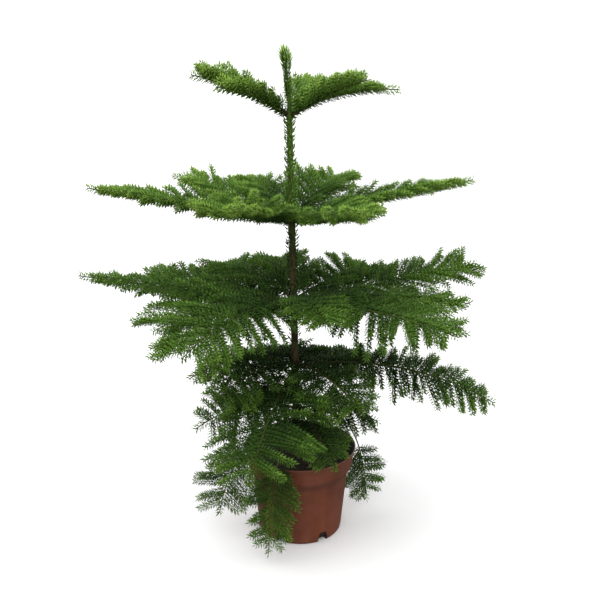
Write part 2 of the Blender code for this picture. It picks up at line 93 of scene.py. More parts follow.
WHORLS = (
    Whorl("top", 0.635, 66, 26, 0.18, False, 0.0056, 0.0094, 0.00, 0.50, 0.30, 0.28, (
        Plume("left", 186, 0.138, 0.060, 0.010, 0.046, 0.66, 0, 38, 0.10),
        Plume("left_front", 212, 0.118, 0.050, 0.008, 0.038, 0.60, 0, 40, 0.12),
        Plume("front_right", 322, 0.134, 0.062, 0.006, 0.042, 0.60, 0, 42, 0.10),
        Plume("right", 4, 0.157, 0.036, 0.012, 0.036, 0.34, 0, 34, 0.10),
        Plume("back", 72, 0.128, 0.036, 0.010, 0.038, 0.55, 0, 42, 0.10),
    )),
    Whorl("upper", 0.488, 70, 24, 0.14, False, 0.0064, 0.0094, 0.16, 0.24, 0.48, 0.36, (
        Plume("left", 181, 0.292, 0.051, 0.000, 0.058, 0.28, 0, 22, 0.14),
        Plume("front_left", 241, 0.208, 0.056, 0.000, 0.078, 0.62, 0, 30, 0.16),
        Plume("front_right", 306, 0.184, 0.042, 0.000, 0.074, 0.50, 0, 30, 0.16),
        Plume("right", 3, 0.263, 0.059, 0.000, 0.060, 0.28, 0, 22, 0.14),
        Plume("back_right", 66, 0.179, 0.030, 0.010, 0.074, 0.60, 0, 24, 0.16),
        Plume("back", 119, 0.168, 0.032, 0.008, 0.058, 0.50, 0, 22, 0.16),
        Plume("back_left", 148, 0.196, 0.048, 0.000, 0.062, 0.60, 0, 18, 0.16),
    )),
    Whorl("middle", 0.366, 76, 20, 0.10, True, 0.0070, 0.0094, 0.10, 0.24, 0.34, 0.18, (
        Plume("left", 180, 0.315, 0.042, 0.000, 0.060, 0.30, 0, 8, 0.14),
        Plume("left_front", 206, 0.220, -0.012, 0.020, 0.086, 0.74, 8, 0, 0.16),
        Plume("front_left", 231, 0.236, -0.018, 0.022, 0.098, 0.64, 4, 0, 0.16),
        Plume("front", 286, 0.178, 0.022, 0.010, 0.062, 0.50, 0, 6, 0.18),
        Plume("front_right", 320, 0.284, 0.014, 0.012, 0.084, 0.52, -10, 0, 0.14),
        Plume("right_front", 341, 0.262, 0.028, 0.006, 0.056, 0.55, -6, 0, 0.16),
        Plume("right", 12, 0.286, 0.044, 0.002, 0.076, 0.64, -5, 8, 0.14),
        Plume("back_right", 50, 0.215, 0.002, 0.012, 0.078, 0.60, 0, 14, 0.16),
        Plume("back", 100, 0.175, 0.014, 0.016, 0.064, 0.60, 0, 16, 0.18),
        Plume("back_left", 130, 0.215, 0.000, 0.020, 0.070, 0.55, 0, 12, 0.16),
        Plume("left_back", 158, 0.255, 0.020, 0.010, 0.062, 0.45, 0, 10, 0.16),
    )),
    Whorl("lower", 0.268, 88, 16, 0.04, True, 0.0076, 0.0094, 0.07, 0.12, 0.30, 0.36, (
        Plume("right", 352, 0.300, -0.046, 0.028, 0.074, 0.52, -12, -6, 0.14),
        Plume("front_right", 306, 0.165, -0.022, 0.014, 0.072, 0.55, -6, -5, 0.18),
        Plume("front_left", 252, 0.206, -0.098, 0.013, 0.104, 0.56, -14, 0, 0.16),
        Plume("left_front", 214, 0.150, -0.034, 0.018, 0.070, 0.60, 10, 0, 0.18),
        Plume("left", 172, 0.168, -0.036, 0.020, 0.064, 0.45, 10, 0, 0.16),
        Plume("back", 98, 0.175, -0.050, 0.010, 0.066, 0.50, 0, 0, 0.16),
        Plume("back_right", 52, 0.178, -0.042, 0.012, 0.066, 0.50, 0, 0, 0.16),
    )),
    Whorl("bottom", 0.198, 86, 14, 0.04, True, 0.0086, 0.0094, 0.06, 0.12, 0.28, 0.34, (
        Plume("left", 196, 0.160, -0.018, 0.022, 0.080, 0.58, 12, -4, 0.18),
        Plume("front", 297, 0.126, -0.052, 0.012, 0.056, 0.60, -8, -5, 0.18),
        Plume("right", 8, 0.132, -0.036, 0.014, 0.066, 0.55, -6, -4, 0.18),
        Plume("back_left", 124, 0.155, -0.070, 0.024, 0.062, 0.50, 0, -4, 0.20),
    )),
    Whorl("lowest", 0.184, 76, 14, 0.04, True, 0.0084, 0.0094, 0.04, 0.20, 0.28, 0.26, (
        Plume("left", 201, 0.126, -0.146, 0.028, 0.060, 0.66, 60, 0, 0.50),
        Plume("front", 252, 0.130, -0.166, 0.040, 0.048, 0.70, 0, 0, 0.50),
        Plume("right", 22, 0.121, -0.172, 0.060, 0.048, 0.74, -80, 0, 0.70),
    )),
)
# Whorls whose needles are too many for one piece. They are dealt into a front and a back half,
# and the back half's plumes point between these azimuths.
SPLIT_WHORLS = ("upper", "middle", "lower")
BACK_HALF = (5, 158)

# The growing rule that the solids follow too. Neighbours' height on the trunk differs by
# STAGGER, and hanging stems bow out by OVERHANG. The branchlets go from TWIGS_FROM to TIP_RUN
# before the stem's end, or from where a stem at least BOUGH_FROM_BARE bare is clothed. They are
# ROOT_WIDTH of the longest at first, longest at WIDEST_AT and hold out up to SHOULDER_AT.
STAGGER = 0.005
OVERHANG = 0.6
TIP_RUN = 0.026
TWIGS_FROM = 0.10
BOUGH_FROM_BARE = 0.3
ROOT_WIDTH = 0.55
WIDEST_AT = 0.30
SHOULDER_AT = 0.70
# How much more than the trunk the leading shoot leans
LEADER_LEAN = 0.068

# Branchlets: the scatter of their places, lengths, sag, upward turn and tone along a plume
TWIG_STATIONS = 5
FEWEST_TWIGS = 8
SHORTEST_TWIG = 0.009
NEEDLE_OVERHANG = 0.006
TWIG_CLEARANCE = 0.0015
TWIG_SCATTER = 0.22
TWIG_LENGTHS = (0.80, 1.06)
TWIG_SAGS = (0.3, 1.7)
LIFT_JITTER = 1.3
TWIG_TONES = 0.035
# A branchlet has three sprays of one tone each: where the second and the third start, their
# share of its lighter end, and the scatter of their tones
SPRAYS = (0.45, 0.80)
SPRAY_LIGHT = np.array((0.0, 0.35, 1.0))
SPRAY_TONES = 0.025
# Needles: the scatter of their turn, opening, closing, lengths and widths
NEEDLE_TURN = 0.10
NEEDLE_OPENING = 0.06
NEEDLE_CLOSING = 0.08
NEEDLE_LENGTHS = (0.88, 1.08)
NEEDLE_WIDTHS = (0.85, 1.15)
# The last needles of a twig are shorter and close by this angle
END_CLOSING = 0.35
# Needles that stand all round a branchlet are this much closer than parted ones
SPIRAL_GAP = 0.85
# How far needles part into two rows, as a share of a full parting
PARTING = 0.22
# A stem's needles are this much longer and further apart than a branchlet's
STEM_NEEDLES = 1.15
TONES = 12
# What plumes keep clear of: the wall this far in from the rim, the compost's relief up to this
# much above its level, and the floor up to this height
RIM_DEPTH = 0.010
HEAP = 0.003
LOWEST_NEEDLE = 0.0012
# Run of trunk over which a knot swells
KNOT_RUN = 0.006


# ---------------------------------------------------------------- settings

def length(name, description, default):
    return bpy.props.FloatProperty(
        name=name, description=description, default=default, min=0, unit="LENGTH", precision=4
    )


def share(name, description, default, high=1.0):
    return bpy.props.FloatProperty(
        name=name, description=description, default=default, min=0, max=high, subtype="FACTOR"
    )


def turn(name, description, degrees):
    return bpy.props.FloatProperty(
        name=name, description=description, default=math.radians(degrees), subtype="ANGLE"
    )


def colour(name, description, default):
    return bpy.props.FloatVectorProperty(
        name=name, description=description, default=default, size=3, min=0, max=1, subtype="COLOR"
    )


def number(name, description, default):
    return bpy.props.IntProperty(name=name, description=description, default=default, min=0)


class PotSettings(bpy.types.PropertyGroup):
    rim_radius: length("Rim radius", "Outside of the rim", 0.085)
    rim_height: length("Rim height", "Top of the rim above the floor", 0.137)
    band_top: length("Band top", "Height at which the rim flares", 0.126)
    band_radius: length("Band radius", "Outside of the lip under the rim's flare", 0.0816)
    lip_height: length("Lip height", "Height at which the lip's cone ends", 0.109)
    lip_radius: length("Lip radius", "Outside of the lip at the end of its cone", 0.0800)
    lip_foot: length("Lip foot", "Height at which the lip steps out", 0.097)
    wall_top_radius: length("Wall top radius", "Outside of the wall under the lip", 0.0728)
    foot_radius: length("Foot radius", "Outside of the wall at the floor", 0.0632)
    wall: length("Wall", "Thickness of the wall", 0.0018)
    floor: length("Floor", "Thickness of the bottom", 0.003)
    drain_radius: length("Drain radius", "Radius of a drain hole", 0.0080)
    drains: number("Drains", "Drain holes round the foot", 6)
    first_drain: turn("First drain", "From +X to the first drain hole", 3)
    drain_slant: turn("Drain slant", "Of each drain hole to the upright", 40)
    clay: colour("Outside", "The plastic outside", (0.208, 0.058, 0.025))
    clay_dark: colour("Outside, dark", "The darker mottling outside", (0.122, 0.033, 0.016))
    clay_pale: colour("Worn", "Bloom and scuffs on the outside", (0.330, 0.130, 0.085))
    lining: colour("Inside", "The plastic inside", (0.006, 0.006, 0.007))


class CompostSettings(bpy.types.PropertyGroup):
    level: length("Level", "Height of the compost at the trunk", 0.124)
    dip: length("Dip", "How much lower it is at the wall", 0.003)
    lumps: length("Lumps", "Height of the relief", 0.0022)
    crumbs: number("Crumbs", "Loose crumbs and bark chips on top", 620)
    dark: colour("Dark", "Damp compost", (0.012, 0.008, 0.006))
    light: colour("Light", "Dry fibres", (0.060, 0.038, 0.022))


class TrunkSettings(bpy.types.PropertyGroup):
    top: length("Top", "Height at which the leading shoot starts", 0.668)
    foot_x: bpy.props.FloatProperty(
        name="Foot", description="The foot's place along X", default=-0.004, unit="LENGTH"
    )
    lean: share("Lean", "Sideways run for each metre of height", 0.0208)
    foot_radius: length("Foot radius", "Radius over the root flare", 0.0056)
    top_radius: length("Top radius", "Radius at the top", 0.0023)
    taper: bpy.props.FloatProperty(
        name="Taper", description="How much of the taper is near the top", default=2.2, min=1
    )
    flare: length("Root flare", "How much wider the foot is", 0.0036)
    flare_height: length("Flare height", "How fast the flare fades", 0.011)
    knot: length("Knots", "Swelling where a whorl leaves", 0.0011)
    relief: length("Relief", "Depth of the bark's relief", 0.0007)
    bark: colour("Bark", "Brown bark of the lower trunk", (0.070, 0.050, 0.020))
    bark_dark: colour("Furrows", "Cracks and scars in the bark", (0.018, 0.013, 0.008))
    green_bark: colour("Green bark", "Young bark of the upper trunk", (0.062, 0.118, 0.018))
    olive: colour("Olive", "Patches on the young bark", (0.120, 0.110, 0.022))


class FoliageSettings(bpy.types.PropertyGroup):
    seed: number("Seed", "Changes how the plumes branch", 11)
    needle_gap: length("Needle gap", "Run of twig for one needle", 0.00062)
    needle_width: length("Needle width", "Width of a needle at its elbow", 0.0022)
    opening: turn("Opening", "Angle at which a needle leaves its twig", 68)
    closing: turn("Closing", "Angle of a needle's end to its twig", 56)
    twig_radius: length("Twig radius", "Radius of a branchlet at its root", 0.0012)
    jitter: turn("Jitter", "Unevenness of the branchlets' directions", 6)
    # The darkest green, dealt near the trunk: older needles, and painted shade inside the plumes.
    old: colour("Old", "Needles near the trunk of the low whorls", (0.014, 0.035, 0.007))
    mature: colour("Mature", "Needles of the middle whorl", (0.051, 0.120, 0.017))
    fresh: colour("Fresh", "This year's needles", (0.150, 0.302, 0.036))
    bud: colour("Bud", "Needles still opening", (0.325, 0.530, 0.085))


class StageSettings(bpy.types.PropertyGroup):
    distance: length("Camera distance", "From the pot's axis to the camera", 1.40)
    height: length("Camera height", "Above the floor", 0.850)
    tilt: turn("Camera tilt", "Down from the horizon", 18.9)
    lens: bpy.props.FloatProperty(
        name="Lens",
        description="Focal length on a 36 mm sensor",
        default=60.96,
        subtype="DISTANCE_CAMERA",
    )
    floor: colour("Floor", "The plain floor", (0.97, 0.97, 0.97))
    sky: share("Soft light", "Light from the whole room", 1.45, high=10)
    bounce: share("Bounce", "Light from below", 0.16, high=10)
    key: share("Key light", "Strength of the main light", 1.5, high=20)


SETTINGS = {
    "pine_pot": PotSettings,
    "pine_compost": CompostSettings,
    "pine_trunk": TrunkSettings,
    "pine_foliage": FoliageSettings,
    "pine_stage": StageSettings,
}


def settings(name):
    return getattr(bpy.context.scene, name)


# ---------------------------------------------------------------- materials

class Wire:
    """A shader socket that can be used in sums. Each operator adds one Math node."""

    def __init__(self, nodes, socket):
        self.nodes = nodes
        self.socket = socket

    def math(self, operation, first, second):
        return self.nodes.node("Math", {"operation": operation}, [first, second])

    def __add__(self, other):
        return self.math("ADD", self, other)

    def __sub__(self, other):
        return self.math("SUBTRACT", self, other)

    def __rsub__(self, other):
        return self.math("SUBTRACT", other, self)

    def __mul__(self, other):
        return self.math("MULTIPLY", self, other)

    def clamp(self):
        return self.nodes.node("Clamp", {}, [self])


class Nodes:
    """A node tree under construction."""

    def __init__(self, tree):
        self.tree = tree

    def node(self, kind, choices, values, output=0):
        """A node of this type: its settings first, then what its sockets hold or take."""
        made = self.tree.nodes.new("ShaderNode" + kind)
        for name, value in choices.items():
            setattr(made, name, value)
        pairs = values.items() if isinstance(values, dict) else enumerate(values)
        for key, value in pairs:
            self.feed(made.inputs[key], value)
        return Wire(self, made.outputs[output])

    def feed(self, socket, value):
        if isinstance(value, Wire):
            self.tree.links.new(value.socket, socket)
        elif hasattr(value, "__len__") and socket.type == "RGBA":
            socket.default_value = (*value[:3], 1)
        else:
            socket.default_value = value


class Finish(Nodes):
    """A material under construction, with the nodes that its finish needs."""

    def __init__(self, name):
        self.material = bpy.data.materials.new(name)
        self.material.use_nodes = True
        super().__init__(self.material.node_tree)
        self.shader = self.tree.nodes["Principled BSDF"]
        self.place = self.node("TexCoord", {}, {}, "Object")

    def set(self, **values):
        for name, value in values.items():
            self.feed(self.shader.inputs[name.replace("_", " ")], value)
        return self.material

    def noise(self, scale, detail=3.0, roughness=0.55, stretch=(1, 1, 1)):
        place = self.place
        if stretch != (1, 1, 1):
            place = self.node("Mapping", {}, {"Vector": place, "Scale": stretch})
        values = {"Vector": place, "Scale": scale, "Detail": detail, "Roughness": roughness}
        return self.node("TexNoise", {}, values)

    def cells(self, scale, stretch):
        place = self.node("Mapping", {}, {"Vector": self.place, "Scale": stretch})
        return self.node("TexVoronoi", {}, {"Vector": place, "Scale": scale}, "Distance")

    def height(self):
        return self.node("SeparateXYZ", {}, [self.place], "Z")

    def ramp(self, value, low, high):
        """0 below low and 1 above high, smooth between."""
        values = {"Value": value, "From Min": low, "From Max": high}
        return self.node("MapRange", {"interpolation_type": "SMOOTHSTEP"}, values)

    def mix(self, factor, first, second):
        """A colour between two. Sockets 0, 6 and 7 take them and socket 2 gives it."""
        return self.node("Mix", {"data_type": "RGBA"}, {0: factor, 6: first, 7: second}, 2)

    def bump(self, height, strength, distance):
        values = {"Height": height, "Strength": strength, "Distance": distance}
        return self.node("Bump", {}, values, "Normal")


def pot_outside():
    """Terracotta plastic: mottled, with a dusty bloom, fine grain, scuffs and soil splashes."""
    pot = settings("pine_pot")
    made = Finish("terracotta plastic")
    height = made.height()
    clouds = made.ramp(made.noise(16, 4), 0.34, 0.66)
    streaks = made.ramp(made.noise(34, 3, stretch=(1, 1, 0.12)), 0.42, 0.70)
    grain = made.noise(900, 2)
    scuffs = made.ramp(made.noise(70, 5, 0.7, stretch=(1, 1, 4)), 0.60, 0.72)
    rubbed = made.ramp(height, pot.lip_foot, pot.rim_height) * 0.35 + 0.10
    splashes = made.ramp(made.noise(120, 4), 0.60, 0.70) * made.ramp(height, 0.034, 0.004)
    tone = made.mix(clouds * 0.7 + grain * 0.25, pot.clay_dark, pot.clay)
    tone = made.mix(streaks * 0.22, tone, pot.clay_pale)
    tone = made.mix((scuffs * rubbed).clamp(), tone, pot.clay_pale)
    tone = made.mix(splashes * 0.65, tone, (0.035, 0.024, 0.016))
    waves = made.noise(22, 2, stretch=(1, 1, 0.4))
    relief = grain * 0.18 + waves + scuffs * 0.12
    return made.set(
        Base_Color=tone,
        Roughness=made.noise(45, 3) * 0.16 + 0.40 + splashes * 0.25,
        Normal=made.bump(relief, 0.35, 0.0012),
    )


def pot_inside():
    """Black plastic with a grey tide mark of dried water and dust."""
    pot = settings("pine_pot")
    made = Finish("black plastic lining")
    tide = made.ramp(made.noise(60, 4), 0.48, 0.66) * made.ramp(made.height(), 0.132, 0.120)
    return made.set(
        Base_Color=made.mix(tide * 0.5, pot.lining, (0.05, 0.043, 0.036)),
        Roughness=made.noise(80, 2) * 0.2 + 0.38,
        Normal=made.bump(made.noise(500, 2), 0.25, 0.0006),
    )


def compost_finish(name, dark, light):
    made = Finish(name)
    lumps = made.noise(190, 5, 0.65)
    fibres = made.ramp(made.noise(420, 3, 0.6, stretch=(1, 0.3, 1)), 0.56, 0.68)
    damp = made.ramp(made.noise(28, 2), 0.40, 0.62)
    tone = made.mix(lumps * damp * 0.55, dark, light)
    tone = made.mix(fibres * 0.55, tone, light)
    return made.set(
        Base_Color=tone,
        Roughness=damp * 0.14 + 0.80,
        Normal=made.bump(lumps + fibres * 0.4, 0.7, 0.0015),
    )


def trunk_bark():
    """Brown, scarred bark below, and green bark with olive patches above the upper whorl."""
    trunk = settings("pine_trunk")
    made = Finish("young bark")
    height = made.height()
    wander = made.noise(40, 3) * 0.05
    young = made.ramp(height + wander, 0.46, 0.56)
    flakes = made.cells(260, (1, 1, 0.45))
    scars = made.ramp(flakes, 0.30, 0.12)
    furrows = made.ramp(made.noise(210, 5, 0.6, stretch=(1, 1, 0.28)), 0.52, 0.40)
    brown = made.mix(furrows * 0.8, trunk.bark, trunk.bark_dark)
    brown = made.mix(made.ramp(made.noise(60, 3), 0.52, 0.70) * 0.5, brown, (0.045, 0.058, 0.018))
    patches = made.ramp(made.noise(75, 3), 0.50, 0.64)
    green = made.mix(patches * 0.8, trunk.green_bark, trunk.olive)
    green = made.mix(furrows * 0.45, green, (0.026, 0.048, 0.010))
    tone = made.mix(young, brown, green)
    tone = made.mix(scars * 0.40, tone, trunk.bark_dark)
    return made.set(
        Base_Color=tone,
        Roughness=made.noise(130, 3) * 0.2 + 0.62,
        Specular_IOR_Level=0.2,
        Normal=made.bump(furrows * 0.7 - scars * 0.5, 0.8, -0.0007),
    )


def bough_bark(name, brown_to, greenness):
    """Bark that turns from brown at the trunk to green along the bough."""
    trunk = settings("pine_trunk")
    made = Finish(name)
    level = made.node("Mapping", {}, {"Vector": made.place, "Scale": (1, 1, 0)})
    away = made.node("VectorMath", {"operation": "LENGTH"}, [level], "Value")
    young = made.ramp(away + made.noise(50, 2) * 0.03, 0.02, brown_to)
    furrows = made.ramp(made.noise(300, 4, 0.6), 0.54, 0.40)
    brown = made.mix(furrows * 0.8, trunk.bark, trunk.bark_dark)
    patches = made.ramp(made.noise(110, 3), 0.50, 0.64)
    green = made.mix(patches * 0.6, trunk.green_bark, trunk.olive)
    tone = made.mix(young * greenness, brown, green)
    return made.set(
        Base_Color=made.mix(furrows * (0.35 - young * 0.25), tone, trunk.bark_dark),
        Roughness=made.noise(130, 3) * 0.2 + 0.62,
        Specular_IOR_Level=0.2,
        Normal=made.bump(furrows, 0.7, -0.0005),
    )


def needle_tones():
    """Plain greens from old to opening needles, waxy, one material for each. The darker
    greens also stand for painted shade inside the plumes.
    """
    if "needle green 0" in bpy.data.materials:
        return [bpy.data.materials[f"needle green {i}"] for i in range(TONES)]
    foliage = settings("pine_foliage")
    stops = np.array((foliage.old, foliage.mature, foliage.fresh, foliage.bud))
    made = []
    for i, place in enumerate(np.linspace(0, len(stops) - 1, TONES)):
        green = [np.interp(place, range(len(stops)), part) for part in stops.T]
        finish = Finish(f"needle green {i}")
        finish.tree.nodes.remove(finish.place.socket.node)
        made.append(finish.set(Base_Color=green, Roughness=0.55, Specular_IOR_Level=0.20))
    return made


# ---------------------------------------------------------------- mesh tools

def deselect():
    if bpy.context.mode != "OBJECT":
        bpy.ops.object.mode_set(mode="OBJECT")
    bpy.ops.object.select_all(action="DESELECT")


def only(thing):
    deselect()
    thing.select_set(True)
    bpy.context.view_layer.objects.active = thing


def named(thing, name):
    thing.name = thing.data.name = name
    return thing


def outward(thing):
    """Turn every normal out."""
    only(thing)
    bpy.ops.object.mode_set(mode="EDIT")
    bpy.ops.mesh.select_all(action="SELECT")
    bpy.ops.mesh.normals_make_consistent(inside=False)
    bpy.ops.object.mode_set(mode="OBJECT")
    return thing


def ringed(name, rings, corners, line=lambda z: 0):
    """A round body drawn up from a disc, ring by ring. A ring is (radius, height), and line
    gives its middle's place along X."""
    deselect()
    radius, z = rings[0]
    bpy.ops.mesh.primitive_circle_add(
        vertices=corners, radius=radius, fill_type="NGON", location=(line(z), 0, z)
    )
    body = named(bpy.context.object, name)
    bpy.ops.object.transform_apply(location=True, rotation=True, scale=True)
    bpy.ops.object.mode_set(mode="EDIT")
    bpy.ops.mesh.select_all(action="SELECT")
    for (r0, z0), (r1, z1) in zip(rings, rings[1:]):
        step = (line(z1) - line(z0), 0, z1 - z0)
        bpy.ops.mesh.extrude_region_move(TRANSFORM_OT_translate={"value": step})
        bpy.ops.transform.resize(value=(r1 / r0, r1 / r0, 1), center_override=(line(z1), 0, z1))
    return outward(body)


def modified(thing, kind, **choices):
    """The thing with one more modifier applied."""
    only(thing)
    modifier = thing.modifiers.new(kind.title(), kind)
    for key, value in choices.items():
        setattr(modifier, key, value)
    bpy.ops.object.modifier_apply(modifier=modifier.name)
    return thing


def relief(name, kind, size):
    made = bpy.data.textures.new(name, kind)
    made.noise_scale = size
    return made


def displaced(thing, texture, strength, **choices):
    return modified(
        thing, "DISPLACE", texture=texture, strength=strength, texture_coords="LOCAL", **choices
    )


def finished(thing, nodes, angle=60):
    """The piece shaded, riding on the plant and standing for its solids."""
    only(thing)
    bpy.ops.object.shade_smooth_by_angle(angle=math.radians(angle))
    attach(thing, "root")
    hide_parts(*nodes)
    deselect()
    return thing


def mesh_from(name, bodies, faces, shades, materials):
    """One piece from many like bodies: the corners of each, the triangles of one and the shade
    of each."""
    count, corners = bodies.shape[:2]
    faces = (np.arange(count)[:, None, None] * corners + np.array(faces)).reshape(-1, 3)
    mesh = bpy.data.meshes.new(name)
    mesh.vertices.add(count * corners)
    mesh.vertices.foreach_set("co", bodies.astype(np.float32).ravel())
    mesh.loops.add(3 * len(faces))
    mesh.loops.foreach_set("vertex_index", faces.astype(np.int32).ravel())
    mesh.polygons.add(len(faces))
    mesh.polygons.foreach_set("loop_start", np.arange(0, 3 * len(faces), 3, dtype=np.int32))
    for material in materials:
        mesh.materials.append(material)
    shades = np.repeat(shades, len(faces) // count)
    mesh.polygons.foreach_set("material_index", shades.astype(np.int32))
    mesh.update(calc_edges=True)
    mesh.validate()
    thing = bpy.data.objects.new(name, mesh)
    bpy.context.scene.collection.objects.link(thing)
    return thing


def round_about(side, up, turned):
    """Directions square to an axis, each turned by its angle from side towards up."""
    return np.cos(turned)[..., None] * side + np.sin(turned)[..., None] * up


def unit(vectors):
    return vectors / np.linalg.norm(vectors, axis=-1, keepdims=True)


def across(along):
    """Two directions square to each tangent: sideways, and as near up as can be."""
    side = np.cross(along, UP)
    upright = np.linalg.norm(side, axis=-1) < 0.05
    side[upright] = (1.0, 0.0, 0.0)
    side = unit(side - (side * along).sum(-1, keepdims=True) * along)
    return side, np.cross(side, along)


# ---------------------------------------------------------------- trunk and plume lines

def trunk_x(z):
    trunk = settings("pine_trunk")
    return trunk.foot_x - trunk.lean * (z - settings("pine_compost").level)


def trunk_radius(z):
    """The trunk's radius at a height, with its root flare and its knots."""
    trunk = settings("pine_trunk")
    foot = settings("pine_compost").level
    taper = np.maximum(0, (z - foot) / (trunk.top - foot)) ** trunk.taper
    radius = trunk.foot_radius + taper * (trunk.top_radius - trunk.foot_radius)
    radius = radius + trunk.flare * np.exp(-(z - foot) / trunk.flare_height)
    for whorl in WHORLS[:-1]:
        radius = radius + trunk.knot * np.exp(-(((z - whorl.height) / KNOT_RUN) ** 2))
    return radius


class PlumePath:
    """The line of a plume, from the trunk's axis at t = 0 to its last needle at t = 1."""

    def __init__(self, plume, height, level):
        angle = math.radians(plume.azimuth)
        self.plume = plume
        self.out = np.array((math.cos(angle), math.sin(angle), 0.0))
        z = height + level
        self.start = np.array((trunk_x(z), 0.0, z))
        self.rise = plume.rise - level
        self.overhang = OVERHANG * max(0, -self.rise / plume.reach)
        self.end = self.along(1, -TIP_RUN)

    def point(self, t):
        t = np.asarray(t, float)[..., None]
        away = self.plume.reach * t * (1 + self.overhang * (1 - t))
        up = self.rise * t + 4 * self.plume.arch * t * (1 - t)
        return self.start + away * self.out + up * UP

    def slope(self, t):
        t = np.asarray(t, float)[..., None]
        away = self.plume.reach * (1 + self.overhang * (1 - 2 * t))
        up = self.rise + 4 * self.plume.arch * (1 - 2 * t)
        return away * self.out + up * UP

    def along(self, t, distance):
        """The t a short distance further on."""
        return t + distance / np.linalg.norm(self.slope(t))

    def frame(self, t):
        """The stem's direction, the plume's right-hand side and its upper face."""
        forward = unit(self.slope(t))
        side = unit(np.cross(forward, UP))
        face = np.cross(side, forward)
        roll = math.radians(self.plume.roll) * np.minimum(1, 2 * np.asarray(t))[..., None]
        return (
            forward,
            np.cos(roll) * side + np.sin(roll) * face,
            np.cos(roll) * face - np.sin(roll) * side,
        )


def stagger(number, count):
    """Neighbours leave the trunk at unlike heights, as their solids do."""
    if count % 2 and number == count - 1:
        return -STAGGER
    return STAGGER * (number % 2)


def width_share(s, end):
    """How long the branchlets are along a plume, as a share of the longest."""
    shoulder = 0.6 + 0.5 * end
    return np.interp(s, (0, WIDEST_AT, SHOULDER_AT, 1), (ROOT_WIDTH, 1, min(shoulder, 1), end))


def pot_outer(z):
    """The outside of the pot at a height."""
    pot = settings("pine_pot")
    heights = (0, pot.lip_foot, pot.lip_height, pot.band_top, pot.rim_height)
    radii = (pot.foot_radius, pot.wall_top_radius, pot.lip_radius, pot.band_radius, pot.rim_radius)
    return np.interp(z, heights, radii)


def hits(points, gap):
    """Which points are in the pot, the compost or the trunk, below the floor or out of reach."""
    pot = settings("pine_pot")
    foot = settings("pine_compost").level
    x, y, z = points[..., 0], points[..., 1], points[..., 2]
    away = np.hypot(x, y)
    outer = pot_outer(z) + gap
    in_pot = (z < pot.rim_height + gap) & (away < outer) & (away > pot.rim_radius - RIM_DEPTH)
    in_pot |= (z < foot + HEAP + gap) & (away < outer)
    height = np.clip(z, foot, settings("pine_trunk").top)
    in_trunk = np.hypot(x - trunk_x(height), y) < trunk_radius(height) + gap
    low, high = (np.array(corner) for corner in CAD_BOX)
    outside = ((points < low) | (points > high)).any(-1)
    return in_pot | in_trunk | outside | (z < LOWEST_NEEDLE)


# ---------------------------------------------------------------- needles and twigs

# A needle is a closed body of four faces: its root, both sides of its elbow, and its tip.
NEEDLE_FACES = ((0, 2, 1), (0, 1, 3), (0, 3, 2), (1, 2, 3))
ELBOW = 0.42


def needle_corners(roots, along, out, size, opening, closing, half_width):
    """The four corners of each needle. It leaves its twig wide and its end turns forward.
    Its edges lie aslant, so that it looks as broad from above as from the side."""
    size, half_width = size[:, None], half_width[:, None]
    opening, closing = opening[:, None], closing[:, None]
    upright = np.cross(along, out)
    level = np.cos(opening) * out - np.sin(opening) * along
    flat = math.sqrt(0.5) * (upright + level)
    elbow = roots + ELBOW * size * (np.cos(opening) * along + np.sin(opening) * out)
    tip = elbow + (1 - ELBOW) * size * (np.cos(closing) * along + np.sin(closing) * out)
    return np.stack((roots, elbow + half_width * flat, elbow - half_width * flat, tip), axis=1)


def dressed(points, along, radius, size, tones, close_up, dice, plane=None):
    """Needles set spirally round a run of twig, or parted a little to both sides of it in a
    plane. close_up: how much nearer to the twig each lies. Returns their corners and tones."""
    foliage = settings("pine_foliage")
    count = len(points)
    if plane is None:
        side, up = across(along)
    else:
        side = unit(plane - (plane * along).sum(-1, keepdims=True) * along)
        up = np.cross(side, along)
    turned = np.arange(count) * GOLDEN_TURN
    turned = turned + dice.uniform(0, math.tau) + dice.normal(0, NEEDLE_TURN, count)
    if plane is not None:
        turned -= PARTING * np.sin(2 * turned)
    out = round_about(side, up, turned)
    roots = points + 0.5 * radius[:, None] * out
    size = size * dice.uniform(*NEEDLE_LENGTHS, count)
    opening = foliage.opening - close_up + dice.normal(0, NEEDLE_OPENING, count)
    closing = foliage.closing - close_up + dice.normal(0, NEEDLE_CLOSING, count)
    half_width = 0.5 * foliage.needle_width * dice.uniform(*NEEDLE_WIDTHS, count)
    made = needle_corners(roots, along, out, size, opening, closing, half_width)
    free = ~(hits(made[:, 3], 0.0004) | hits(made[:, 1:3], 0.0002).any(1))
    return made[free], tones[free]


# Unevenness of the needles on an upright shoot: of their turn and their angles, and the least
# and greatest share of their length and width
Uneven = namedtuple("Uneven", "turn angle lengths widths")
TRUNK_UNEVEN = Uneven(0.25, 0.08, (0.80, 1.12), (0.0019, 0.0024))
BUD_UNEVEN = Uneven(0.20, 0.05, (0.86, 1.04), (0.0020, 0.0026))


def shoot_needles(line, lean, z, rooted, size, angles, uneven, dice):
    """The corners of needles round an upright shoot: its line and lean, then each needle's
    height, distance from the axis and length, and its angles at the root and at the end."""
    count = len(z)
    along = np.tile(unit(np.array((-lean, 0.0, 1.0))), (count, 1))
    turned = np.arange(count) * GOLDEN_TURN + dice.normal(0, uneven.turn, count)
    out = round_about(*across(along), turned)
    return needle_corners(
        np.stack((line(z), np.zeros(count), z), axis=1) + rooted[:, None] * out, along, out,
        size * dice.uniform(*uneven.lengths, count),
        *(angle + dice.normal(0, uneven.angle, count) for angle in angles),
        0.5 * dice.uniform(*uneven.widths, count),
    )


def shade_of(tones):
    return np.clip(np.round(tones * (TONES - 1)), 0, TONES - 1)


def needle_mesh(name, parts):
    """One piece from many (corners, tones) runs."""
    corners, tones = (np.concatenate(kind) for kind in zip(*parts))
    return mesh_from(name, corners, NEEDLE_FACES, shade_of(tones), needle_tones())


